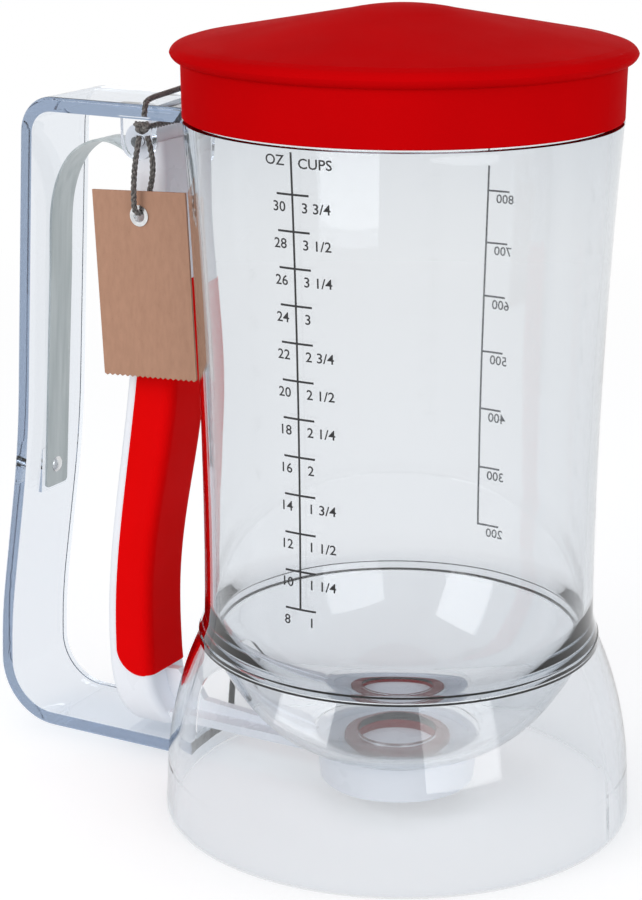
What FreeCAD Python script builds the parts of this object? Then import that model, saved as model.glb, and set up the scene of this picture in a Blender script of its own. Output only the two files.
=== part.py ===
import FreeCAD, Part
import math
import os

from FreeCAD import Vector

# Pancake batter dispenser: a clear jug with a funnel floor on a clear bell skirt, a strap handle
# with a squeeze lever that swings a valve cup off the outlet, and a red press-on lid.
# Millimetres. The origin is on the jug's axis in the plane of the base rim, +Z is up and the
# handle points along -X.

# Jug
wall = 2.2
jug_low_radius = 47.7
jug_rise = 3.7
jug_waist = 1.3
jug_low_z = 50.0
shoulder_z = 171.0
neck_radius = 49.7
neck_wall = 1.6
neck_height = 10.5
seam_radius = 49.2
seam_z = 43.8
seam_land = 3.0

# Funnel and outlet
funnel_rim_radius = 45.0
funnel_rim_z = 43.5
funnel_floor_radius = 18.5
funnel_floor_z = 17.6
funnel_bulge = 1.5
floor_thickness = 2.0
outlet_radius = 10.0

# Skirt
base_radius = 57.9
skirt_wall = 2.0
skirt_upright = 12.0
skirt_upright_draft = 0.6
skirt_bulge = 1.5
window_width = 19.0
window_top = 23.0
window_corner = 4.0

# Handle strap
strap_width = 25.0
strap_thickness = 3.6
strap_top_z = 171.0
strap_bottom_z = 3.4
strap_edge_fillet = 0.8
grip_top_x = -100.4
grip_top_corner = 9.5
grip_waist_x = -105.3
grip_waist_z = 80.0
grip_waist_bend = 300.0
grip_flare_x = -112.6
grip_flare_z = 32.0
grip_flare_bend = 150.0
grip_foot_x = -113.4
grip_foot_corner = 16.0

# Pivot
pivot_x = -68.5
pivot_z = 161.2
pin_radius = 1.4
pin_clearance = 0.05
ear_thickness = 2.0
ear_radius = 4.6
ear_gap = 0.4
pin_end = 0.5

# Lever
head_radius = 4.4
head_half_width = 6.5
lever_half_width = 8.5
lever_corner = 2.4
lever_foot_z = 8.4
grip_thickness = 1.0
grip_proud = 0.35
grip_back_margin = 3.4
grip_low_z = 21.5
grip_high_z = 126.0

# Valve
cup_radius = 20.0
cup_low_radius = 19.2
cup_low_z = 6.4
cup_wall = 1.8
cup_top_gap = 0.4
plate_thickness = 2.0
gasket_height = 2.2
gasket_width = 3.2
gasket_gap = 0.1
rim_height = 0.9
rim_width = 1.0
arm_half_width = 5.5
arm_thickness = 2.2
arm_rib_width = 2.4
tongue_radius = 9.0
notch_gap = 0.2

# Spring
spring_thickness = 0.6
spring_width = 9.2
spring_end_z = 66.5
spring_gap = 0.3
spring_turn_x = -95.4
spring_turn_z = 149.5
spring_shoulder_x = -90.2
spring_shoulder_z = 156.7
spring_peak_x = -81.5
spring_peak_z = 160.0
slot_gap = 0.55
slot_depth = 5.0
rivet_z = 72.2
rivet_radius = 1.5
rivet_head_radius = 2.3
rivet_head = 0.8
pad_length = 12.0

# Lid
lid_fit = 0.3
lid_wall = 1.4
lid_low_z = 171.6
lid_crease_z = 184.6
lip_radius = 54.1
lip_z = 186.6
lid_cone_radius = 50.5
lid_cone_z = 189.0
boss_radius = 14.0
boss_foot_z = 195.7
boss_top_z = 197.3
lid_top_wall = 1.6

# Hang tag on its cord
cord_diameter = 1.5
knot_x = -62.0
knot_y = -15.6
knot_z = 166.2
knot_radius = 2.1
knot_lobe = 0.72
card_width = 27.0
card_height = 46.0
card_thickness = 0.6
card_top_z = 150.6
card_x = -63.4
card_tilt = 3.0
eyelet_drop = 6.0
eyelet_bore = 1.6
eyelet_radius = 2.6
eyelet_height = 0.35


def at(x, z, y=0.0):
    return Vector(x, y, z)


def line(a, b):
    return Part.LineSegment(a, b).toShape()


def arc(a, b, c):
    return Part.Arc(a, b, c).toShape()


def curve(points):
    spline = Part.BSplineCurve()
    spline.interpolate(points)
    return spline.toShape()


def polyline(points):
    return [line(a, b) for a, b in zip(points, points[1:])]


def rounded(corners, radii):
    """Straight runs between corners, with a tangent arc of its own radius at each inner corner."""
    edges = []
    last = corners[0]
    for before, corner, after, radius in zip(corners, corners[1:], corners[2:], radii):
        way_in = (corner - before).normalize()
        way_out = (after - corner).normalize()
        turn = way_in.getAngle(way_out)
        reach = radius * math.tan(turn / 2)
        inward = (way_out - way_in).normalize()
        middle = corner + inward * (radius / math.cos(turn / 2) - radius)
        start = corner - way_in * reach
        end = corner + way_out * reach
        edges.append(line(last, start))
        edges.append(arc(start, middle, end))
        last = end
    edges.append(line(last, corners[-1]))
    return edges


def face_of(edges):
    return Part.Face(Part.Wire(Part.__sortEdges__(edges)))


def turned(edges):
    """A closed outline in the XZ plane, turned about the jug's axis."""
    return face_of(edges).revolve(Vector(0, 0, 0), Vector(0, 0, 1), 360)


def slab(edges, half_width):
    """A closed outline in the XZ plane, made into a plate across Y."""
    face = face_of(edges)
    face.translate(Vector(0, -half_width, 0))
    return face.extrude(Vector(0, 2 * half_width, 0))


def bulged(a, b, bulge):
    """An arc from a to b that stands out by bulge to the right of the way from a to b."""
    middle = (a + b) * 0.5
    way = b - a
    side = Vector(way.z, 0, -way.x).normalize()
    return arc(a, middle + side * bulge, b)


def jug_radius(z):
    """Outside radius of the jug wall, which has a slight waist and opens towards the top."""
    part = (z - jug_low_z) / (shoulder_z - jug_low_z)
    return jug_low_radius + jug_rise * part - jug_waist * 4 * part * (1 - part)


def wall_curve(inset):
    heights = [jug_low_z + (shoulder_z - jug_low_z) * k / 4 for k in range(5)]
    return [at(jug_radius(z) - inset, z) for z in heights]


def container():
    """Jug wall, stepped neck, funnel floor and outlet in one clear moulding."""
    outside = wall_curve(0)
    inside = wall_curve(wall)[:-1] + [at(neck_radius - neck_wall, shoulder_z - 1.5)]
    neck_top = shoulder_z + neck_height
    neck_inner = neck_radius - neck_wall
    rim_middle = neck_radius - neck_wall / 2
    under_z = funnel_floor_z - floor_thickness
    floor_outer = funnel_floor_radius + floor_thickness * 0.9
    seam_foot = at(seam_radius, seam_z)
    land_inner = at(seam_radius - seam_land, seam_z)
    rim_inner = at(funnel_rim_radius, funnel_rim_z)
    floor_edge = at(funnel_floor_radius, funnel_floor_z)
    under_edge = at(floor_outer, under_z)
    edges = [
        bulged(seam_foot, outside[0], -0.3),
        curve(outside),
        line(outside[-1], at(neck_radius, shoulder_z)),
        line(at(neck_radius, shoulder_z), at(neck_radius, neck_top)),
        arc(at(neck_radius, neck_top), at(rim_middle, neck_top + neck_wall / 2), at(neck_inner, neck_top)),
        line(at(neck_inner, neck_top), inside[-1]),
        curve(list(reversed(inside))),
        bulged(inside[0], rim_inner, 0.3),
        bulged(rim_inner, floor_edge, funnel_bulge),
    ]
    edges += polyline([
        floor_edge,
        at(outlet_radius, funnel_floor_z),
        at(outlet_radius, under_z),
        under_edge,
    ])
    edges += [
        bulged(under_edge, land_inner, -funnel_bulge),
        line(land_inner, seam_foot),
    ]
    return turned(edges)


def skirt_outline(inset):
    """Outer side of the bell from the foot to the seam."""
    foot = at(base_radius - inset, 0)
    waist = at(base_radius - skirt_upright_draft - inset, skirt_upright)
    top = at(seam_radius - inset, seam_z)
    return foot, waist, top


def skirt_solid():
    foot, waist, top = skirt_outline(0)
    edges = [line(foot, waist), bulged(waist, top, skirt_bulge)]
    edges += polyline([top, at(0, seam_z), at(0, 0), foot])
    return turned(edges)


def base_skirt():
    """Open clear bell that the jug stands on, with the window for the valve arm."""
    foot, waist, top = skirt_outline(0)
    foot_in, waist_in, top_in = skirt_outline(skirt_wall)
    edges = [
        line(foot, waist),
        bulged(waist, top, skirt_bulge),
        line(top, top_in),
        bulged(top_in, waist_in, -skirt_bulge),
        line(waist_in, foot_in),
        line(foot_in, foot),
    ]
    bell = turned(edges)
    window_low = strap_bottom_z + strap_thickness
    depth = 2 * skirt_wall + 12
    window = Part.makeBox(depth, window_width, window_top - window_low)
    window.translate(Vector(-base_radius - 4, -window_width / 2, window_low))
    upright = [e for e in window.Edges if is_along(e, Vector(1, 0, 0)) and e.CenterOfMass.z > window_low + 1]
    return bell.cut(window.makeFillet(window_corner, upright))


def is_along(edge, direction):
    if not isinstance(edge.Curve, Part.Line):
        return False
    way = edge.Vertexes[-1].Point - edge.Vertexes[0].Point
    return way.cross(direction).Length < 1e-6


def strap_edges():
    """Outer line of the D, closed inside the jug."""
    root_x = -jug_low_radius + 6
    corners = [
        at(root_x, strap_top_z),
        at(grip_top_x, strap_top_z),
        at(grip_waist_x, grip_waist_z),
        at(grip_flare_x, grip_flare_z),
        at(grip_foot_x, strap_bottom_z),
        at(root_x, strap_bottom_z),
    ]
    bends = [grip_top_corner, grip_waist_bend, grip_flare_bend, grip_foot_corner]
    return rounded(corners, bends) + [line(corners[-1], corners[0])]


def grip_inner_x(z):
    """Inner side of the grip at a height, from the strap's own outline."""
    wire = Part.Wire(Part.__sortEdges__(strap_edges()))
    inner = wire.makeOffset2D(-strap_thickness)
    level = line(at(-200, z), at(-80, z))
    return max(v.Point.x for v in inner.section(level).Vertexes)


def handle_frame():
    """Clear strap handle with the two pivot ears and the pad under the spring."""
    outer = Part.Wire(Part.__sortEdges__(strap_edges()))
    inner = outer.makeOffset2D(-strap_thickness)
    half = strap_width / 2
    plate = rounded_plate(slab(outer.Edges, half), half)
    strap = plate.cut(slab(inner.Edges, half + 1))
    strap = strap.fuse([pivot_ear(1), pivot_ear(-1), spring_pad()]).removeSplitter()
    strap = strap.cut([jug_core(), skirt_solid()])
    pin_bore = cylinder_across(pin_radius, half)
    rivet_bore = cylinder_along_x(rivet_radius, grip_inner_x(rivet_z) - strap_thickness - 2, 10)
    return largest(strap.cut([pin_bore, rivet_bore]))


def rounded_plate(plate, half):
    """Rounds the long outer edges of the D, apart from the end that the jug trims off."""
    root_x = max(edge.BoundBox.XMax for edge in plate.Edges)
    edges = []
    for edge in plate.Edges:
        on_side = abs(abs(edge.CenterOfMass.y) - half) < 1e-6
        if on_side and edge.BoundBox.XMin < root_x - 1:
            edges.append(edge)
    return plate.makeFillet(strap_edge_fillet, edges)


def pivot_ear(side):
    low = pivot_z
    high = strap_top_z - strap_thickness + 0.5
    start = head_half_width + ear_gap
    plate = Part.makeBox(2 * ear_radius, ear_thickness, high - low)
    plate.translate(Vector(pivot_x - ear_radius, start, low))
    boss = Part.makeCylinder(ear_radius, ear_thickness, Vector(pivot_x, start, pivot_z), Vector(0, 1, 0))
    ear = plate.fuse(boss)
    return ear if side > 0 else ear.mirror(Vector(0, 0, 0), Vector(0, 1, 0))


def cylinder_across(radius, half):
    return Part.makeCylinder(radius, 2 * half, Vector(pivot_x, -half, pivot_z), Vector(0, 1, 0))


def cylinder_along_x(radius, start, length):
    return Part.makeCylinder(radius, length, Vector(start, 0, rivet_z), Vector(1, 0, 0))


def spring_pad():
    """Pad on the grip that the lower end of the spring lies on."""
    low = spring_end_z - 1
    high = low + pad_length
    deep = grip_inner_x(low) - strap_thickness / 2
    outline = polyline([
        at(deep, low),
        at(spring_back_x(low) - spring_gap, low),
        at(spring_back_x(high) - spring_gap, high),
        at(deep, high),
        at(deep, low),
    ])
    return slab(outline, spring_width / 2 + 1)


def jug_core():
    """Everything inside the outer face of the jug, to trim what is joined to it."""
    outside = wall_curve(0)
    seam_foot = at(seam_radius, seam_z)
    edges = [bulged(seam_foot, outside[0], -0.3), curve(outside)]
    edges += polyline([
        outside[-1],
        at(0, shoulder_z),
        at(0, seam_z),
        seam_foot,
    ])
    return turned(edges)


def largest(shape):
    return max(shape.Solids, key=lambda solid: solid.Volume)


def spring_foot_x():
    return grip_inner_x(119) + spring_gap + spring_thickness / 2


def spring_back_x(z):
    """Back face of the straight part of the spring, which leans with the grip."""
    lean = (grip_inner_x(119) - grip_inner_x(80)) / 39
    return spring_foot_x() - spring_thickness / 2 + lean * (z - 119)


def spring_route():
    """Middle line of the strip: up the grip, over in a hook and into the lever's head."""
    low = at(spring_back_x(spring_end_z) + spring_thickness / 2, spring_end_z)
    up = at(spring_back_x(124) + spring_thickness / 2, 124)
    turn = at(spring_turn_x, spring_turn_z)
    shoulder = at(spring_shoulder_x, spring_shoulder_z)
    peak = at(spring_peak_x, spring_peak_z)
    tip = at(pivot_x - head_radius + slot_depth - 1.0, spring_peak_z - 4.6)
    return [low, up, turn, shoulder, peak, tip]


def strip(route, thickness, half_width):
    """A flat strip of even thickness along a smooth middle line."""
    low, up = route[0], route[1]
    ahead = (up - low).normalize()
    spline = Part.BSplineCurve()
    last = (route[-1] - route[-2]).normalize()
    spline.interpolate(Points=route[1:], InitialTangent=ahead * 25, FinalTangent=last * 8)
    sides = []
    for side in (-0.5, 0.5):
        points = []
        for k in range(13):
            u = spline.FirstParameter + (spline.LastParameter - spline.FirstParameter) * k / 12
            way = spline.tangent(u)[0]
            points.append(spline.value(u) + Vector(-way.z, 0, way.x) * (side * thickness))
        shift = Vector(-ahead.z, 0, ahead.x) * (side * thickness)
        sides.append([low + shift, points])
    edges = []
    for start, points in sides:
        edges.append(line(start, points[0]))
        edges.append(curve(points))
    edges.append(line(sides[0][0], sides[1][0]))
    edges.append(line(sides[0][1][-1], sides[1][1][-1]))
    return slab(edges, half_width)


def spring_strip():
    """Flat steel strip that holds the valve shut."""
    body = strip(spring_route(), spring_thickness, spring_width / 2)
    corners = [e for e in body.Edges if is_along(e, Vector(-0.05, 0, 1)) or abs(e.Length - spring_thickness) < 0.01]
    low_corners = [e for e in corners if e.CenterOfMass.z < spring_end_z + 1]
    body = body.makeFillet(1.2, low_corners)
    bore = cylinder_along_x(rivet_radius, spring_back_x(rivet_z) - 5, 10)
    return body.cut(bore)


def spring_rivet():
    """Steel rivet through the strip, the pad and the grip."""
    head_start = spring_back_x(rivet_z) + spring_thickness
    shank_start = grip_inner_x(rivet_z) - strap_thickness * 0.7
    shank = cylinder_along_x(rivet_radius - pin_clearance, shank_start, head_start - shank_start + 0.1)
    head = Part.makeSphere(rivet_head_radius * 1.4)
    cap = Part.makeCylinder(rivet_head_radius, rivet_head, Vector(head_start, 0, rivet_z), Vector(1, 0, 0))
    head.translate(Vector(head_start + rivet_head - rivet_head_radius * 1.4, 0, rivet_z))
    return shank.fuse(cap.common(head)).removeSplitter()


def lever_sections(inset, proud):
    """Height, back, front and half width of the lever from its foot to its head."""
    rows = [
        (lever_foot_z, -75.0, -63.0, 6.5),
        (11.0, -78.0, -64.5, 7.6),
        (17.0, -80.4, -67.2, lever_half_width),
        (27.0, -81.6, -68.4, lever_half_width),
        (45.0, -81.2, -68.4, lever_half_width),
        (67.0, -78.6, -65.4, lever_half_width),
        (94.0, -74.6, -60.6, lever_half_width - 0.2),
        (122.0, -72.2, -60.4, lever_half_width - 1.2),
        (148.0, -71.6, -62.2, head_half_width),
        (pivot_z, pivot_x - head_radius, pivot_x + head_radius + 1.0, head_half_width),
    ]
    return [(z, back + inset, front - inset + proud, half - inset + proud) for z, back, front, half in rows]


def rounded_section(z, back, front, half, corner):
    """A rectangle with rounded corners in a level plane."""
    slant = corner * (1 - math.sqrt(0.5))
    corners = [(back, -half, 1, 1), (front, -half, -1, 1), (front, half, -1, -1), (back, half, 1, -1)]
    edges = []
    ends = []
    for k, (x, y, sx, sy) in enumerate(corners):
        along_x = Vector(x + sx * corner, y, z)
        along_y = Vector(x, y + sy * corner, z)
        middle = Vector(x + sx * slant, y + sy * slant, z)
        first, second = (along_y, along_x) if k % 2 == 0 else (along_x, along_y)
        edges.append(arc(first, middle, second))
        ends.append((first, second))
    sides = [line(ends[k][1], ends[(k + 1) % 4][0]) for k in range(4)]
    ordered = []
    for k in range(4):
        ordered += [edges[k], sides[k]]
    return Part.Wire(ordered)


def lever_stem(inset, proud, corner):
    wires = [rounded_section(*row, corner) for row in lever_sections(inset, proud)]
    return Part.makeLoft(wires, True, False)


def grip_zone():
    """Side outline of the soft grip, open towards the jug."""
    rows = [row for row in lever_sections(0, 0) if 27.0 <= row[0] <= 122.0]
    back = [at(row[1] + grip_back_margin, row[0]) for row in rows]
    far = back[0].x + 40
    low = arc(back[0], at(back[0].x + 2.6, grip_low_z + 1.2), at(back[0].x + 9, grip_low_z))
    high = arc(back[-1], at(back[-1].x + 1.2, grip_high_z - 0.9), at(back[-1].x + 4, grip_high_z))
    edges = [curve(back), low, high]
    edges += polyline([
        at(back[0].x + 9, grip_low_z),
        at(far, grip_low_z + 2),
        at(far, grip_high_z),
        at(back[-1].x + 4, grip_high_z),
    ])
    return slab(edges, 2 * lever_half_width)


def valve_arm():
    """Flat arm with a rib that runs from the lever's foot under the valve cup's plate."""
    top = plate_z() - plate_thickness
    low = top - arm_thickness
    arm = Part.makeBox(-lever_sections(0, 0)[0][1] - 3, 2 * arm_half_width, arm_thickness)
    arm.translate(Vector(lever_sections(0, 0)[0][1] + 3, -arm_half_width, low))
    tongue = Part.makeCylinder(tongue_radius, arm_thickness, Vector(0, 0, low))
    rib_end = -cup_radius - 1.5
    rib = slab(polyline([
        at(-70, top - 0.5),
        at(rib_end, top - 0.5),
        at(rib_end, top + 0.6),
        at(-58, top + 3.2),
        at(-66, 24.0),
        at(-70, 24.0),
        at(-70, top - 0.5),
    ]), arm_rib_width / 2)
    return arm.fuse([tongue, rib])


def lever_slot():
    """Slot in the head that takes the upper end of the spring."""
    return strip(spring_route(), spring_thickness + 2 * slot_gap, spring_width / 2 + slot_gap)


def lever_recess():
    return grip_zone().cut(lever_stem(grip_thickness, 0, lever_corner - 0.6))


def trigger_lever():
    """White lever: head on the pivot, stem, foot and valve arm."""
    stem = lever_stem(0, 0, lever_corner)
    head = cylinder_across(head_radius, head_half_width)
    whole = stem.fuse([head, valve_arm()]).removeSplitter()
    whole = whole.cut(lever_recess())
    bore = cylinder_across(pin_radius, 2 * head_half_width)
    return largest(whole.cut([bore, lever_slot()]))


def trigger_grip():
    """Soft red grip that wraps the front and both sides of the lever."""
    outside = lever_stem(0, grip_proud, lever_corner + grip_proud)
    return largest(outside.common(grip_zone()).cut(lever_stem(grip_thickness, 0, lever_corner - 0.6)))


def pivot_pin():
    half = head_half_width + ear_gap + ear_thickness + pin_end
    return cylinder_across(pin_radius - pin_clearance, half)


def plate_z():
    """Top of the valve cup's plate."""
    return funnel_floor_z - floor_thickness - gasket_gap - gasket_height


def valve_cup():
    """White cup that closes the outlet from below."""
    top_z = funnel_floor_z - floor_thickness - cup_top_gap
    plate_top = plate_z()
    plate_low = plate_top - plate_thickness
    rim_in = outlet_radius + gasket_width + 0.2
    edges = polyline([
        at(cup_low_radius, cup_low_z),
        at(cup_radius, plate_top),
        at(cup_radius, top_z),
        at(cup_radius - cup_wall, top_z),
        at(cup_radius - cup_wall, plate_top),
        at(rim_in + rim_width, plate_top),
        at(rim_in + rim_width, plate_top + rim_height),
        at(rim_in, plate_top + rim_height),
        at(rim_in, plate_top),
        at(0, plate_top),
        at(0, plate_low),
        at(cup_radius - cup_wall, plate_low),
        at(cup_low_radius - cup_wall, cup_low_z),
        at(cup_low_radius, cup_low_z),
    ])
    cup = turned(edges)
    notch_half = arm_half_width + notch_gap
    notch = Part.makeBox(10, 2 * notch_half, plate_low - cup_low_z)
    notch.translate(Vector(-cup_radius - 5, -notch_half, cup_low_z))
    return cup.cut(notch)


def valve_gasket():
    """Red silicone ring between the cup's plate and the outlet."""
    inner = outlet_radius
    outer = outlet_radius + gasket_width
    low = plate_z()
    high = low + gasket_height
    edges = [
        line(at(inner, low), at(outer, low)),
        line(at(outer, low), at(outer, high - 0.6)),
        arc(at(outer, high - 0.6), at(outer - 0.2, high - 0.2), at(outer - 0.6, high)),
        line(at(outer - 0.6, high), at(inner + 0.6, high)),
        arc(at(inner + 0.6, high), at(inner + 0.2, high - 0.2), at(inner, high - 0.6)),
        line(at(inner, high - 0.6), at(inner, low)),
    ]
    return turned(edges)


def lid():
    """Red press-on lid: a sleeve over the neck, a rounded lip and a shallow coned top."""
    sleeve_in = neck_radius + lid_fit
    sleeve_out = sleeve_in + lid_wall
    lip_low = at(sleeve_out + 0.2, lid_crease_z)
    lip_out = at(lip_radius, lip_z)
    lip_top = at(lid_cone_radius + 1.6, lid_cone_z - 0.5)
    cone_foot = at(lid_cone_radius, lid_cone_z)
    boss_foot = at(boss_radius, boss_foot_z)
    crown = at(0, boss_top_z)
    ceiling_z = lid_cone_z - lid_top_wall
    edges = [
        line(at(sleeve_in, lid_low_z), at(sleeve_out - 0.4, lid_low_z)),
        arc(at(sleeve_out - 0.4, lid_low_z), at(sleeve_out - 0.1, lid_low_z + 0.1), at(sleeve_out, lid_low_z + 0.5)),
        line(at(sleeve_out, lid_low_z + 0.5), lip_low),
        arc(lip_low, at(lip_radius - 0.7, lip_z - 1.2), lip_out),
        arc(lip_out, at(lip_radius - 0.6, lip_z + 1.1), lip_top),
        line(lip_top, cone_foot),
        line(cone_foot, boss_foot),
        boss_arc(boss_foot, crown),
    ]
    inner_crown = at(0, boss_top_z - lid_top_wall)
    edges += [
        line(crown, inner_crown),
        line(inner_crown, at(boss_radius, boss_foot_z - lid_top_wall)),
        line(at(boss_radius, boss_foot_z - lid_top_wall), at(sleeve_in, ceiling_z)),
        line(at(sleeve_in, ceiling_z), at(sleeve_in, lid_low_z)),
    ]
    return turned(edges)


def boss_arc(foot, crown):
    """Arc of a sphere centred on the axis."""
    height = crown.z - foot.z
    radius = (foot.x ** 2 + height ** 2) / (2 * height)
    half_angle = math.asin(foot.x / radius) / 2
    middle = at(radius * math.sin(half_angle), crown.z - radius * (1 - math.cos(half_angle)))
    return arc(foot, middle, crown)


def tube(points, radii, diameter):
    """Round tube along straight runs joined by tangent arcs."""
    path = Part.Wire(rounded(points, radii))
    start = Part.Circle(points[0], points[1] - points[0], diameter / 2).toShape()
    solid = path.makePipeShell([Part.Wire([start])], True, False)
    share = solid.Volume / (path.Length * math.pi * diameter ** 2 / 4)
    print("tube length", round(path.Length, 1), "radii", [round(r, 2) for r in radii], "share", round(share, 4))
    return solid


def bend_radii(points):
    """Arc radius at each inner point, as large as its two runs allow."""
    radii = []
    for before, point, after in zip(points, points[1:], points[2:]):
        turn = (point - before).getAngle(after - point)
        shorter = min((point - before).Length, (after - point).Length)
        radii.append(0.45 * shorter / math.tan(turn / 2))
    return radii


hitch_points = [
    Vector(-61.9, -15.25, 168.65),
    Vector(-61.9, -14.9, 171.0),
    Vector(-62.0, -13.2, 172.6),
    Vector(-62.6, 0.0, 172.5),
    Vector(-63.2, 13.2, 172.6),
    Vector(-63.2, 14.7, 171.0),
    Vector(-63.1, 14.7, 167.4),
    Vector(-63.0, 13.2, 165.9),
    Vector(-62.7, 0.0, 165.7),
    Vector(-62.3, -12.9, 165.9),
]

strand_points = [
    Vector(-62.5, -16.6, 164.2),
    Vector(-62.9, -17.5, 160.0),
    Vector(-63.3, -18.1, 155.0),
    Vector(-63.5, -18.2, 150.0),
    Vector(-63.5, -17.9, 145.2),
    Vector(-63.3, -13.7, 145.2),
    Vector(-62.0, -13.7, 149.6),
    Vector(-60.6, -13.9, 154.6),
    Vector(-60.4, -14.3, 159.6),
    Vector(-61.3, -15.0, 164.0),
]


def tag_knot():
    """Overhand knot under the bar, as a rounded lump with one lobe."""
    lump = Part.makeSphere(knot_radius)
    lobe = Part.makeSphere(knot_radius * knot_lobe)
    lobe.translate(Vector(-knot_radius * 0.62, 0, knot_radius * 0.3))
    lump = lump.fuse(lobe)
    lump.translate(Vector(knot_x, knot_y, knot_z))
    return lump


def tag_hitch():
    """Loop of the tag's cord round the top bar, tight over its edges."""
    return tube(hitch_points, bend_radii(hitch_points), cord_diameter)


def tag_strands():
    """Two strands of the cord from the knot, through the eyelet and back."""
    strands = tube(strand_points, bend_radii(strand_points), cord_diameter)
    return largest(strands.cut(tag_knot()))


def on_card(shape):
    """Places what is modelled flat round the eyelet's centre on the hanging card."""
    shape.rotate(Vector(0, 0, 0), Vector(1, 0, 0), 90)
    shape.rotate(Vector(0, 0, 0), Vector(0, 1, 0), -card_tilt)
    shape.translate(Vector(card_x, knot_y, card_top_z - eyelet_drop))
    return shape


def tag_card():
    """Plain card with a serrated lower edge and a hole for the eyelet."""
    half = card_width / 2
    top = eyelet_drop
    low = eyelet_drop - card_height
    teeth = 18
    step = card_width / teeth
    points = [Vector(-half, low, 0)]
    for k in range(teeth):
        points.append(Vector(-half + (k + 0.5) * step, low - 0.5, 0))
        points.append(Vector(-half + (k + 1) * step, low, 0))
    points += [Vector(half, top, 0), Vector(-half, top, 0), points[0]]
    card = Part.Face(Part.Wire(polyline(points))).extrude(Vector(0, 0, card_thickness))
    card.translate(Vector(0, 0, -card_thickness / 2))
    hole = Part.makeCylinder(eyelet_bore + eyelet_height, 4, Vector(0, 0, -2))
    return on_card(card.cut(hole))


def tag_eyelet():
    """Pressed steel eyelet with a flange on both faces of the card."""
    high = card_thickness / 2
    top = high + eyelet_height
    sleeve = eyelet_bore + eyelet_height
    edges = polyline([
        at(eyelet_bore, -top),
        at(eyelet_radius, -top),
        at(eyelet_radius, -high),
        at(sleeve, -high),
        at(sleeve, high),
        at(eyelet_radius, high),
        at(eyelet_radius, top),
        at(eyelet_bore, top),
        at(eyelet_bore, -top),
    ])
    return on_card(turned(edges))


def write(node, shape):
    shape.exportStep("parts/%s.step" % node)


def main():
    os.makedirs("parts", exist_ok=True)
    write("container", container())
    write("base_skirt", base_skirt())
    write("handle_frame", handle_frame())
    write("lid", lid())
    write("trigger_lever", trigger_lever())
    write("trigger_grip", trigger_grip())
    write("pivot_pin", pivot_pin())
    write("valve_cup", valve_cup())
    write("valve_gasket", valve_gasket())
    write("spring_strip", spring_strip())
    write("spring_rivet", spring_rivet())
    write("tag_hitch", tag_hitch())
    write("tag_knot", tag_knot())
    write("tag_strands", tag_strands())
    write("tag_eyelet", tag_eyelet())
    write("tag_card", tag_card())


main()
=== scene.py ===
import math

import bpy
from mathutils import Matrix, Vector
from mathutils.bvhtree import BVHTree


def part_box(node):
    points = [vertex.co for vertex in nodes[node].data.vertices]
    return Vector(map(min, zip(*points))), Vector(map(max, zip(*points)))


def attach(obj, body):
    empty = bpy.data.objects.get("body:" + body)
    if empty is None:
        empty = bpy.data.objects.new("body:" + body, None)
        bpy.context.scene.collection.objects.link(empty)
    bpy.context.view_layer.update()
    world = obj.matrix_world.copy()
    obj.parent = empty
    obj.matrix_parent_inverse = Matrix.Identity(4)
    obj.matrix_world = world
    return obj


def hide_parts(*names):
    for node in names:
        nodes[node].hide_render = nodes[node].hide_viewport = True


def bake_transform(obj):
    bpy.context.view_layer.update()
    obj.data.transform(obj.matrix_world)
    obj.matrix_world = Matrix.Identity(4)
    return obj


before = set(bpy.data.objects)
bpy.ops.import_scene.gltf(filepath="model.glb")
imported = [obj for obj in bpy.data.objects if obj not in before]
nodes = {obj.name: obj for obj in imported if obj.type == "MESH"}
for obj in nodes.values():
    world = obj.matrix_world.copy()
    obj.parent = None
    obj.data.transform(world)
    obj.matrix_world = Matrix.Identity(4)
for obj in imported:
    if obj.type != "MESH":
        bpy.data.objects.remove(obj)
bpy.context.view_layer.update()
mm = 0.001

# Camera, as fitted to the photograph
camera_place = (0.2602, -0.5004, 0.2552)
camera_tilt = math.radians(73.71)
camera_turn = math.radians(29.41)
camera_lens = 97.13

# Studio: each lamp's name, place, size in metres and power in watts
lamps = [
    ("key", (-0.45, -1.05, 0.60), 0.7, 5.5),
    ("fill", (0.95, -0.55, 0.40), 0.8, 5.0),
    ("top", (0.0, 0.1, 1.25), 0.9, 1.4),
]
lamp_aim = (0, 0, 0.10)
room_light = 0.62
backdrop_rays = ["Is Camera Ray", "Is Glossy Ray", "Is Transmission Ray"]
floor_grey = 0.8
floor_lift = 0.34
floor_fade_from = 0.22
floor_fade_to = 0.70
floor_size = 6.0

# Clear plastic: the colour it takes from the light, and how strongly for each metre, both made stronger
# than its own faint tint so that they also paint in blue-grey shade on its edges and thick parts
clear_index = 1.50
shell_cast_and_shade_density = 90.0
shell_cast_and_shade_colour = (0.36, 0.44, 0.52, 1.0)
handle_cast_and_shade_density = 62.0
handle_cast_and_shade_colour = (0.28, 0.42, 0.60, 1.0)

# Jug shell, in millimetres, with the bowl's points as radius and height
shell_steps = 160
shell_sharp_angle = math.radians(35)
neck_radius = 49.7
neck_wall = 1.6
neck_foot = 171.0
neck_top = 181.5
neck_rim_steps = 6
neck_inside_drop = 1.5
wall_foot = 50.0
wall_steps = 24
wall_top_gap = 0.1
seam_radius = 49.2
seam_height = 43.8
seam_groove_height = 46.0
seam_groove_half = 0.4
seam_groove_depth = 0.35
bowl_top = (46.2, 43.8)
bowl_belly = (37.0, 20.0)
bowl_foot = (19.6, 15.6)
bowl_steps = 16
bowl_wall = 2.0
bowl_floor = 17.6
bowl_floor_step = 0.4
outlet_radius = 10.0

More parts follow.
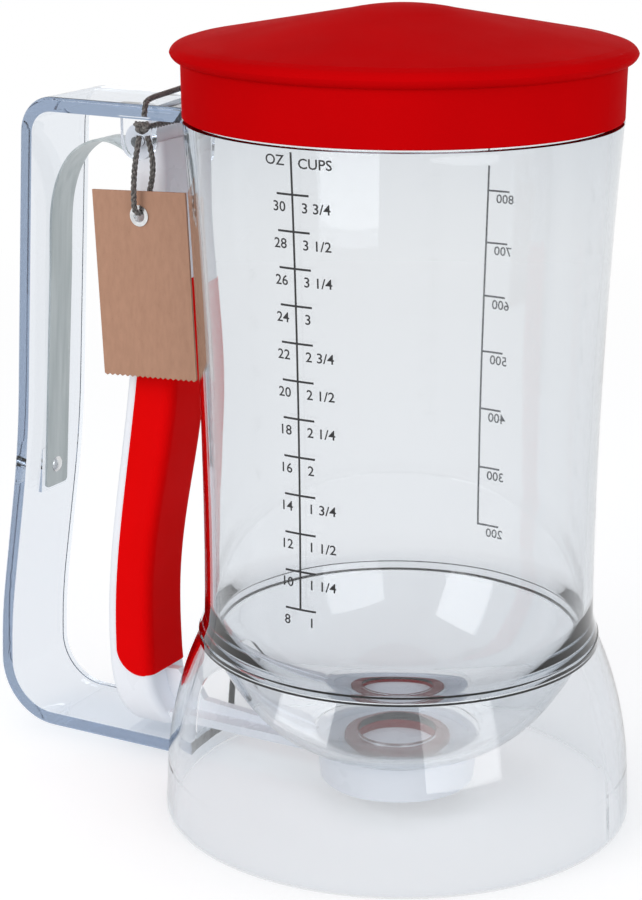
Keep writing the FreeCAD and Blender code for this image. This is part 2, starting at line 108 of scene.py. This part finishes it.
# Printed scales, in millimetres and millilitres
ounce = 29.57
eight_ounce_height = 64.5
front_azimuth = math.radians(-90.5)
back_azimuth = math.radians(90.9)
print_lift = 0.04
line_width = 0.5
front_line_top = 170.2
front_tick_half = 3.8
front_digit_height = 2.25
letter_weight = 0.012
front_label_drop = 2.75
ounce_label_middle = -3.3
ounce_heading_middle = -4.0
ounce_heading_height = 168.3
cup_label_left = 2.0
cup_heading_left = 1.5
cup_heading_height = 167.9
back_line_top = 155.4
back_tick_length = 6.0
back_digit_height = 2.4
back_label_left = -7.4
back_label_drop = 2.0
climb_step = 0.05
bar_step_across = 1.5
bar_step_along = 4.0
cap_height = 0.7
well_outside = 0.1

# Tag cord
strand_count = 3
strand_radius = 0.41
strand_offset = 0.34
strand_pitch = 4.2
strand_sides = 8
line_step = 0.0004
knot_size = (0.66, 0.40, 0.36)
knot_stretch = 1.2
knot_steps = 72

loop_route = [
    (-61.9, -15.25, 168.65),
    (-61.9, -14.9, 171.0),
    (-62.3, -13.2, 172.6),
    (-64.6, 0.0, 172.5),
    (-66.6, 13.2, 172.6),
    (-66.0, 14.7, 171.0),
    (-63.1, 14.7, 167.4),
    (-63.0, 13.2, 165.9),
    (-62.7, 0.0, 165.7),
    (-62.3, -12.9, 165.9),
]
hanging_route = [
    (-62.5, -16.6, 164.2),
    (-62.9, -17.5, 160.0),
    (-63.3, -18.1, 155.0),
    (-63.5, -18.2, 150.0),
    (-63.5, -17.9, 145.2),
    (-63.3, -13.7, 145.2),
    (-62.0, -13.7, 149.6),
    (-60.6, -13.9, 154.6),
    (-60.4, -14.3, 159.6),
    (-61.3, -15.0, 164.0),
]


def new_material(name):
    """A material with its node tree and its main shader."""
    material = bpy.data.materials.new(name)
    material.use_nodes = True
    tree = material.node_tree
    return material, tree, tree.nodes["Principled BSDF"]


def noise(tree, scale, detail=3.0, stretch=(1, 1, 1)):
    """Noise that stays with the piece, at so many spots a metre."""
    place = tree.nodes.new("ShaderNodeTexCoord")
    size = tree.nodes.new("ShaderNodeMapping")
    size.inputs["Scale"].default_value = stretch
    texture = tree.nodes.new("ShaderNodeTexNoise")
    texture.inputs["Scale"].default_value = scale
    texture.inputs["Detail"].default_value = detail
    tree.links.new(place.outputs["Object"], size.inputs["Vector"])
    tree.links.new(size.outputs["Vector"], texture.inputs["Vector"])
    return texture.outputs["Fac"]


def ramp(tree, source, low, high, start=0.35, end=0.65):
    """Turns a pattern into a colour between low and high."""
    node = tree.nodes.new("ShaderNodeValToRGB")
    node.color_ramp.elements[0].position = start
    node.color_ramp.elements[0].color = low
    node.color_ramp.elements[1].position = end
    node.color_ramp.elements[1].color = high
    tree.links.new(source, node.inputs["Fac"])
    return node.outputs["Color"]


def spread(tree, source, low, high):
    """Turns a pattern into a number between low and high."""
    node = tree.nodes.new("ShaderNodeMapRange")
    node.inputs["From Min"].default_value = 0.3
    node.inputs["From Max"].default_value = 0.7
    node.inputs["To Min"].default_value = low
    node.inputs["To Max"].default_value = high
    tree.links.new(source, node.inputs["Value"])
    return node.outputs["Result"]


def add_bump(tree, shader, source, depth, strength=1.0):
    """Raises the surface by a pattern, depth in metres."""
    node = tree.nodes.new("ShaderNodeBump")
    node.inputs["Strength"].default_value = strength
    node.inputs["Distance"].default_value = depth
    tree.links.new(source, node.inputs["Height"])
    tree.links.new(node.outputs["Normal"], shader.inputs["Normal"])


def any_ray(tree, kinds):
    """1 for rays of any of these kinds, else 0."""
    path = tree.nodes.new("ShaderNodeLightPath")
    total = path.outputs[kinds[0]]
    for kind in kinds[1:]:
        either = tree.nodes.new("ShaderNodeMath")
        either.operation = "MAXIMUM"
        tree.links.new(total, either.inputs[0])
        tree.links.new(path.outputs[kind], either.inputs[1])
        total = either.outputs[0]
    return total


def clear_plastic(name, density, colour):
    """Clear moulded plastic with a faint blue-grey tint, its absorption made strong enough to paint in
    shade, so that the cast deepens along its edges.
    """
    material, tree, shader = new_material(name)
    shader.inputs["Base Color"].default_value = (1.0, 1.0, 1.0, 1.0)
    shader.inputs["IOR"].default_value = clear_index
    shader.inputs["Transmission Weight"].default_value = 1.0
    haze = spread(tree, noise(tree, 60.0), 0.01, 0.03)
    tree.links.new(haze, shader.inputs["Roughness"])
    add_bump(tree, shader, noise(tree, 14.0, 1.0, (1, 1, 0.4)), 0.00004)
    # Absorbing volume: the plastic's own tint, made strong enough to also paint darker blue-grey shade
    # along edges and thick parts
    cast_and_shade = tree.nodes.new("ShaderNodeVolumeAbsorption")
    cast_and_shade.inputs["Color"].default_value = colour
    cast_and_shade.inputs["Density"].default_value = density
    output = tree.nodes["Material Output"]
    tree.links.new(cast_and_shade.outputs["Volume"], output.inputs["Volume"])
    see_through = tree.nodes.new("ShaderNodeBsdfTransparent")
    see_through.inputs["Color"].default_value = (0.985, 0.988, 0.992, 1.0)
    mix = tree.nodes.new("ShaderNodeMixShader")
    tree.links.new(any_ray(tree, ["Is Shadow Ray", "Is Diffuse Ray"]), mix.inputs["Fac"])
    tree.links.new(shader.outputs["BSDF"], mix.inputs[1])
    tree.links.new(see_through.outputs["BSDF"], mix.inputs[2])
    tree.links.new(mix.outputs["Shader"], output.inputs["Surface"])
    return material


def moulded(name, low, high, rough_low, rough_high, grain, depth, gloss):
    """Opaque moulded material with a fine satin texture."""
    material, tree, shader = new_material(name)
    shader.inputs["Specular IOR Level"].default_value = gloss
    tree.links.new(ramp(tree, noise(tree, 35.0), low, high), shader.inputs["Base Color"])
    tree.links.new(spread(tree, noise(tree, 90.0), rough_low, rough_high), shader.inputs["Roughness"])
    add_bump(tree, shader, noise(tree, grain, 2.0), depth, 0.6)
    return material


def red_lid():
    """Satin red plastic of the lid."""
    return moulded(
        "red_lid", (0.445, 0.001, 0.002, 1), (0.480, 0.001, 0.002, 1), 0.44, 0.52, 2600.0, 0.00002, 0.002
    )


def red_grip():
    """Soft matt red of the grip."""
    return moulded(
        "red_grip", (0.70, 0.001, 0.001, 1), (0.75, 0.001, 0.002, 1), 0.48, 0.58, 3200.0, 0.00003, 0.02
    )


def white_plastic():
    """Satin white plastic of the lever and the cup."""
    return moulded(
        "white_plastic", (0.82, 0.84, 0.88, 1), (0.86, 0.88, 0.92, 1), 0.25, 0.33, 1800.0, 0.00001, 0.35
    )


def silicone():
    """Dark red silicone of the gasket."""
    return moulded(
        "silicone", (0.19, 0.008, 0.012, 1), (0.23, 0.010, 0.015, 1), 0.45, 0.55, 2400.0, 0.00002, 0.15
    )


def steel(name, stretch, colour_low, colour_high, rough_low, rough_high):
    """Stainless steel, brushed the way that its pattern is stretched."""
    material, tree, shader = new_material(name)
    grain = noise(tree, 500.0, 4.0, stretch)
    tree.links.new(ramp(tree, grain, colour_low, colour_high), shader.inputs["Base Color"])
    tree.links.new(spread(tree, grain, rough_low, rough_high), shader.inputs["Roughness"])
    shader.inputs["Metallic"].default_value = 1.0
    add_bump(tree, shader, grain, 0.00002, 0.5)
    return material


def kraft_card():
    """Brown card with long pulp fibres and darker specks."""
    material, tree, shader = new_material("kraft_card")
    fibres = noise(tree, 900.0, 6.0, (1, 1, 0.35))
    pulp = ramp(tree, fibres, (0.385, 0.212, 0.140, 1), (0.430, 0.240, 0.160, 1), 0.3, 0.7)
    specks = ramp(tree, noise(tree, 2200.0, 2.0), (1, 1, 1, 1), (0.84, 0.82, 0.80, 1), 0.66, 0.74)
    mix = tree.nodes.new("ShaderNodeMix")
    mix.data_type = "RGBA"
    mix.blend_type = "MULTIPLY"
    mix.inputs["Factor"].default_value = 1.0
    tree.links.new(pulp, mix.inputs["A"])
    tree.links.new(specks, mix.inputs["B"])
    tree.links.new(mix.outputs["Result"], shader.inputs["Base Color"])
    shader.inputs["Roughness"].default_value = 0.82
    shader.inputs["Specular IOR Level"].default_value = 0.25
    add_bump(tree, shader, fibres, 0.00006, 0.7)
    return material


def twine():
    """Dark grey yarn with light flecks and a fuzzy surface."""
    material, tree, shader = new_material("twine")
    flecks = noise(tree, 2600.0, 3.0, (1, 1, 0.5))
    colour = ramp(tree, flecks, (0.030, 0.028, 0.026, 1), (0.21, 0.195, 0.18, 1), 0.38, 0.66)
    tree.links.new(colour, shader.inputs["Base Color"])
    shader.inputs["Roughness"].default_value = 0.85
    shader.inputs["Sheen Weight"].default_value = 0.3
    add_bump(tree, shader, flecks, 0.00012, 0.8)
    return material


def ink(name, low, high):
    """Screen-printed ink, slightly uneven in cover."""
    material, tree, shader = new_material(name)
    tree.links.new(ramp(tree, noise(tree, 1500.0), low, high), shader.inputs["Base Color"])
    shader.inputs["Roughness"].default_value = 0.45
    return material


def give(material, *names):
    """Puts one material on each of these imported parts."""
    for name in names:
        slots = nodes[name].data.materials
        slots.clear()
        slots.append(material)


def new_piece(name, points, faces, material, smooth=False):
    """A mesh object in the scene with one material."""
    mesh = bpy.data.meshes.new(name)
    mesh.from_pydata(points, [], faces)
    mesh.materials.append(material)
    mesh.polygons.foreach_set("use_smooth", [smooth] * len(mesh.polygons))
    mesh.update()
    piece = bpy.data.objects.new(name, mesh)
    bpy.context.scene.collection.objects.link(piece)
    return piece


def wall_of(name):
    """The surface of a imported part, for finding points on it."""
    mesh = nodes[name].data
    return BVHTree.FromPolygons([v.co for v in mesh.vertices], [p.vertices for p in mesh.polygons])


jug_wall = wall_of("container")


def on_wall(azimuth, height):
    """The point of the jug's outside at this azimuth and height, lifted by the ink's thickness."""
    outward = Vector((math.cos(azimuth), math.sin(azimuth), 0))
    start = outward * well_outside + Vector((0, 0, height))
    place = jug_wall.ray_cast(start, -outward)[0]
    return place + outward * print_lift * mm


def inside_radius(height):
    """Inside radius of the jug at this height, in millimetres."""
    start = Vector((0, 0, height * mm))
    return jug_wall.ray_cast(start, Vector((1, 0, 0)))[0].x / mm


def height_of(volume):
    """Height in the jug that this volume in millilitres reaches, from the eight-ounce mark."""
    height = eight_ounce_height
    left = (volume - 8 * ounce) * 1000
    way = 1 if left > 0 else -1
    while left * way > 0:
        left -= way * math.pi * inside_radius(height) ** 2 * climb_step
        height += way * climb_step
    return height


def outside_radius(height):
    """Outside radius of the jug at this height, in millimetres."""
    return (on_wall(0.0, height * mm).x / mm) - print_lift


def bowl_points():
    """The funnel's outer line from its foot to its top, and its inner line one wall inside that."""
    outer, inner = [], []
    foot, belly, top = (Vector(p) for p in (bowl_foot, bowl_belly, bowl_top))
    for k in range(bowl_steps + 1):
        t = k / bowl_steps
        place = foot * (1 - t) ** 2 + belly * 2 * t * (1 - t) + top * t ** 2
        way = ((belly - foot) * (1 - t) + (top - belly) * t).normalized()
        outer.append(place)
        inner.append(place + Vector((-way.y, way.x)) * bowl_wall)
    return outer, [p for p in inner if p.y > bowl_floor]


def shell_outline():
    """Closed outline of the jug shell as radius and height, up the outside and down the inside."""
    outer, inner = bowl_points()
    points = [(outlet_radius, bowl_foot[1])] + [tuple(p) for p in outer]
    points += [
        (seam_radius, seam_height),
        (seam_radius, seam_groove_height - seam_groove_half),
        (seam_radius - seam_groove_depth, seam_groove_height),
        (seam_radius - seam_groove_depth, seam_groove_height + seam_groove_half),
    ]
    climb = neck_foot - wall_top_gap - wall_foot
    heights = [wall_foot + climb * k / wall_steps for k in range(wall_steps + 1)]
    points += [(outside_radius(z), z) for z in heights]
    points += [(neck_radius, neck_foot), (neck_radius, neck_top)]
    half = neck_wall / 2
    for k in range(1, neck_rim_steps):
        turn = math.pi * k / neck_rim_steps
        points.append((neck_radius - half + half * math.cos(turn), neck_top + half * math.sin(turn)))
    neck_inside = neck_radius - neck_wall
    points += [(neck_inside, neck_top), (neck_inside, neck_foot - neck_inside_drop)]
    points += [(inside_radius(z), z) for z in reversed(heights[:-1])]
    points += [tuple(p) for p in reversed(inner)]
    points += [(inner[0].x - bowl_floor_step, bowl_floor), (outlet_radius, bowl_floor)]
    return points


def jug_shell(material):
    """The jug with its funnel, turned from its outline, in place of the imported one."""
    outline = shell_outline()
    count = len(outline)
    points, faces = [], []
    for step in range(shell_steps):
        angle = 2 * math.pi * step / shell_steps
        points += [(r * mm * math.cos(angle), r * mm * math.sin(angle), z * mm) for r, z in outline]
        here = step * count
        there = (step + 1) % shell_steps * count
        for k in range(count):
            after = (k + 1) % count
            faces.append((here + k, there + k, there + after, here + after))
    shell = new_piece("jug_shell", points, faces, material, smooth=True)
    shell.data.set_sharp_from_angle(angle=shell_sharp_angle)
    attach(shell, "jug")
    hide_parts("container")


def bar(left, right, low, high):
    """A flat printed bar as points and faces, cut up so that it can follow the wall."""
    across = max(1, round((right - left) / bar_step_across))
    along = max(1, round((high - low) / bar_step_along))
    points = [
        (left + (right - left) * i / across, low + (high - low) * j / along)
        for j in range(along + 1)
        for i in range(across + 1)
    ]
    faces = []
    for j in range(along):
        for i in range(across):
            corner = j * (across + 1) + i
            faces.append((corner, corner + 1, corner + across + 2, corner + across + 1))
    return points, faces


def lettering(words, digit_height, x, y, align):
    """Flat faces of one label, with its middle height at y."""
    curve = bpy.data.curves.new("label", "FONT")
    curve.body = words
    curve.align_x = align
    curve.resolution_u = 3
    curve.offset = letter_weight
    holder = bpy.data.objects.new("label", curve)
    mesh = bpy.data.meshes.new_from_object(holder)
    size = digit_height / cap_height
    points = [(x + v.co.x * size, y + (v.co.y - cap_height / 2) * size) for v in mesh.vertices]
    faces = [tuple(p.vertices) for p in mesh.polygons]
    bpy.data.objects.remove(holder)
    bpy.data.curves.remove(curve)
    bpy.data.meshes.remove(mesh)
    return points, faces


def printed(name, azimuth, marks, material):
    """Wraps flat marks, in millimetres round and up, on to the jug's wall as one piece."""
    points, faces = [], []
    for flat, own_faces in marks:
        first = len(points)
        for x, y in flat:
            radius = inside_radius(y)
            points.append(on_wall(azimuth + x / radius, y * mm))
        faces += [tuple(first + i for i in face) for face in own_faces]
    piece = new_piece(name, points, faces, material)
    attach(piece, "jug")


def cups_label(ounces):
    """Cups for so many fluid ounces, as whole cups and a fraction."""
    quarters = ounces * 4 // 8
    whole, part = divmod(quarters, 4)
    return str(whole) + ["", " 1/4", " 1/2", " 3/4"][part]


def front_scale(material):
    """Ounces on the left of the line and cups on its right."""
    half = line_width / 2
    marks = [bar(-half, half, eight_ounce_height - half, front_line_top)]
    digit = front_digit_height
    marks.append(lettering("OZ", digit, ounce_heading_middle, ounce_heading_height, "CENTER"))
    marks.append(lettering("CUPS", digit, cup_heading_left, cup_heading_height, "LEFT"))
    for ounces in range(8, 31, 2):
        height = height_of(ounces * ounce)
        middle = height - front_label_drop
        marks.append(bar(-front_tick_half, -half, height - half, height + half))
        marks.append(bar(half, front_tick_half, height - half, height + half))
        marks.append(lettering(str(ounces), digit, ounce_label_middle, middle, "CENTER"))
        marks.append(lettering(cups_label(ounces), digit, cup_label_left, middle, "LEFT"))
    printed("print_ounces", front_azimuth, marks, material)


def back_scale(material):
    """Millilitres on the far side, in hundreds."""
    half = line_width / 2
    marks = [bar(-half, half, height_of(200) - half, back_line_top)]
    for volume in range(200, 900, 100):
        height = height_of(volume)
        marks.append(bar(-back_tick_length, -half, height - half, height + half))
        middle = height - back_label_drop
        marks.append(lettering(str(volume), back_digit_height, back_label_left, middle, "LEFT"))
    printed("print_millilitres", back_azimuth, marks, material)


def route_points(route):
    """Points along the smooth line that a cord's route controls."""
    curve = bpy.data.curves.new("route", "CURVE")
    curve.dimensions = "3D"
    spline = curve.splines.new("NURBS")
    spline.points.add(len(route) - 1)
    for point, (x, y, z) in zip(spline.points, route):
        point.co = (x * mm, y * mm, z * mm, 1)
    spline.order_u = 3
    spline.use_endpoint_u = True
    spline.resolution_u = 12
    holder = bpy.data.objects.new("route", curve)
    mesh = bpy.data.meshes.new_from_object(holder)
    points = [v.co.copy() for v in mesh.vertices]
    bpy.data.objects.remove(holder)
    bpy.data.curves.remove(curve)
    bpy.data.meshes.remove(mesh)
    return points


def knot_points(middle, size):
    """A tight overhand knot's closed line about its middle."""
    points = []
    for i in range(knot_steps + 1):
        t = 2 * math.pi * i / knot_steps
        x = math.sin(t) + 2 * math.sin(2 * t)
        y = math.cos(t) - 2 * math.cos(2 * t)
        z = -math.sin(3 * t)
        points.append(middle + Vector((x * size[0], z * size[1] * knot_stretch, y * size[2])) * mm)
    return points


def twisted(name, line, material, body):
    """Strands of yarn laid round a line."""
    tangent = (line[1] - line[0]).normalized()
    side = tangent.orthogonal().normalized()
    run = 0.0
    rings = [[] for strand in range(strand_count)]
    for i, place in enumerate(line):
        if i:
            run += (place - line[i - 1]).length
        ahead = line[min(i + 1, len(line) - 1)] - line[max(i - 1, 0)]
        turn = tangent.rotation_difference(ahead.normalized())
        tangent = ahead.normalized()
        side = (turn @ side).normalized()
        over = tangent.cross(side)
        for strand in range(strand_count):
            lay = 2 * math.pi * (run / (strand_pitch * mm) + strand / strand_count)
            centre = place + (side * math.cos(lay) + over * math.sin(lay)) * strand_offset * mm
            ring = []
            for k in range(strand_sides):
                angle = 2 * math.pi * k / strand_sides
                ring.append(centre + (side * math.cos(angle) + over * math.sin(angle)) * strand_radius * mm)
            rings[strand].append(ring)
    points, faces = [], []
    for strand in rings:
        first = len(points)
        for ring in strand:
            points += ring
        for i in range(len(strand) - 1):
            for k in range(strand_sides):
                a = first + i * strand_sides + k
                b = first + i * strand_sides + (k + 1) % strand_sides
                faces.append((a, b, b + strand_sides, a + strand_sides))
        last = first + (len(strand) - 1) * strand_sides
        faces.append(tuple(reversed(range(first, first + strand_sides))))
        faces.append(tuple(range(last, last + strand_sides)))
    piece = new_piece(name, points, faces, material, smooth=True)
    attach(piece, body)
    return piece


def finer(line, step):
    """The same line with points no further apart than step."""
    points = [line[0]]
    for place in line[1:]:
        start = points[-1]
        count = max(1, math.ceil((place - start).length / step))
        points += [start.lerp(place, (i + 1) / count) for i in range(count)]
    return points


def tag_cord(material):
    """The loop round the handle, the knot and the two strands down to the card."""
    loop_line = finer(route_points(loop_route), line_step)
    loop = twisted("cord_loop", loop_line, material, "jug")
    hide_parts("tag_hitch")
    hanging_line = finer(route_points(hanging_route), line_step)
    hanging = twisted("cord_hanging", hanging_line, material, "tag")
    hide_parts("tag_strands")
    low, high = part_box("tag_knot")
    knot = twisted("cord_knot", knot_points((low + high) / 2, knot_size), material, "tag")
    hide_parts("tag_knot")


def spring_blade(material):
    """The blade spring, a copy of the imported strip with its own material."""
    source = nodes["spring_strip"].data
    blade = bpy.data.objects.new("spring_blade", source.copy())
    bpy.context.scene.collection.objects.link(blade)
    blade.data.materials.clear()
    blade.data.materials.append(material)
    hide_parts("spring_strip")
    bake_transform(blade)


def make_camera():
    """The camera, in the place that it was fitted to."""
    data = bpy.data.cameras.new("camera")
    data.lens = camera_lens
    camera = bpy.data.objects.new("camera", data)
    camera.location = camera_place
    camera.rotation_euler = (camera_tilt, 0, camera_turn)
    bpy.context.scene.collection.objects.link(camera)
    bpy.context.scene.camera = camera


def soft_lamp(name, place, size, power):
    """A square soft box that points at the middle of the jug."""
    data = bpy.data.lights.new(name, "AREA")
    data.shape = "SQUARE"
    data.size = size
    data.energy = power
    lamp = bpy.data.objects.new(name, data)
    lamp.location = place
    lamp.rotation_euler = (Vector(lamp_aim) - Vector(place)).to_track_quat("-Z", "Y").to_euler()
    bpy.context.scene.collection.objects.link(lamp)


def make_world():
    """Even room light, with a white backdrop for what is seen, mirrored or seen through."""
    world = bpy.data.worlds.new("studio")
    world.use_nodes = True
    tree = world.node_tree
    room = tree.nodes["Background"]
    room.inputs["Color"].default_value = (0.97, 0.98, 1.0, 1)
    room.inputs["Strength"].default_value = room_light
    backdrop = tree.nodes.new("ShaderNodeBackground")
    backdrop.inputs["Color"].default_value = (1, 1, 1, 1)
    backdrop.inputs["Strength"].default_value = 1.0
    mix = tree.nodes.new("ShaderNodeMixShader")
    tree.links.new(any_ray(tree, backdrop_rays), mix.inputs["Fac"])
    tree.links.new(room.outputs["Background"], mix.inputs[1])
    tree.links.new(backdrop.outputs["Background"], mix.inputs[2])
    tree.links.new(mix.outputs["Shader"], tree.nodes["World Output"].inputs["Surface"])
    bpy.context.scene.world = world


def make_floor():
    """A pale floor that shows white, keeps the soft shadow and fades to the backdrop away from the jug."""
    material, tree, shader = new_material("floor")
    shader.inputs["Base Color"].default_value = (floor_grey, floor_grey, floor_grey, 1)
    shader.inputs["Roughness"].default_value = 0.9
    shader.inputs["Specular IOR Level"].default_value = 0.0
    shader.inputs["Emission Color"].default_value = (1, 1, 1, 1)
    lift = tree.nodes.new("ShaderNodeMath")
    lift.operation = "MULTIPLY"
    lift.inputs[1].default_value = floor_lift
    seen = any_ray(tree, backdrop_rays)
    tree.links.new(seen, lift.inputs[0])
    tree.links.new(lift.outputs[0], shader.inputs["Emission Strength"])
    place = tree.nodes.new("ShaderNodeTexCoord")
    distance = tree.nodes.new("ShaderNodeVectorMath")
    distance.operation = "LENGTH"
    tree.links.new(place.outputs["Object"], distance.inputs[0])
    fade = tree.nodes.new("ShaderNodeMapRange")
    fade.inputs["From Min"].default_value = floor_fade_from
    fade.inputs["From Max"].default_value = floor_fade_to
    tree.links.new(distance.outputs["Value"], fade.inputs["Value"])
    amount = tree.nodes.new("ShaderNodeMath")
    amount.operation = "MULTIPLY"
    tree.links.new(fade.outputs["Result"], amount.inputs[0])
    tree.links.new(seen, amount.inputs[1])
    white = tree.nodes.new("ShaderNodeEmission")
    white.inputs["Color"].default_value = (1, 1, 1, 1)
    white.inputs["Strength"].default_value = 1.0
    mix = tree.nodes.new("ShaderNodeMixShader")
    tree.links.new(amount.outputs[0], mix.inputs["Fac"])
    tree.links.new(shader.outputs["BSDF"], mix.inputs[1])
    tree.links.new(white.outputs["Emission"], mix.inputs[2])
    tree.links.new(mix.outputs["Shader"], tree.nodes["Material Output"].inputs["Surface"])
    half = floor_size / 2
    corners = [(-half, -half, 0), (half, -half, 0), (half, half, 0), (-half, half, 0)]
    floor = new_piece("floor", corners, [(0, 1, 2, 3)], material)


def main():
    make_camera()
    tag_cord(twine())
    clear_shell = clear_plastic("clear_shell", shell_cast_and_shade_density, shell_cast_and_shade_colour)
    jug_shell(clear_shell)
    give(clear_shell, "base_skirt")
    give(clear_plastic("clear_handle", handle_cast_and_shade_density, handle_cast_and_shade_colour), "handle_frame")
    give(red_lid(), "lid")
    give(white_plastic(), "trigger_lever", "valve_cup")
    give(red_grip(), "trigger_grip")
    give(silicone(), "valve_gasket")
    spring_blade(
        steel("blade_steel", (1, 1, 0.05), (0.36, 0.40, 0.41, 1), (0.46, 0.50, 0.51, 1), 0.30, 0.42)
    )
    # The pin's colour is kept far darker than bare steel: a painted dark reflection on the pin's end
    pin_with_painted_reflection = steel("pin_steel", (1, 0.1, 1), (0.12, 0.13, 0.14, 1), (0.20, 0.21, 0.22, 1), 0.25, 0.38)
    give(pin_with_painted_reflection, "pivot_pin")
    pale_steel = steel("eyelet_steel", (1, 1, 1), (0.62, 0.63, 0.64, 1), (0.75, 0.76, 0.77, 1), 0.18, 0.28)
    give(pale_steel, "tag_eyelet", "spring_rivet")
    give(kraft_card(), "tag_card")
    front_scale(ink("front_ink", (0.006, 0.006, 0.007, 1), (0.012, 0.012, 0.014, 1)))
    back_scale(ink("back_ink", (0.020, 0.026, 0.032, 1), (0.035, 0.042, 0.050, 1)))
    make_world()
    for lamp in lamps:
        soft_lamp(*lamp)
    make_floor()
    bpy.context.scene.view_settings.view_transform = "Standard"


main()
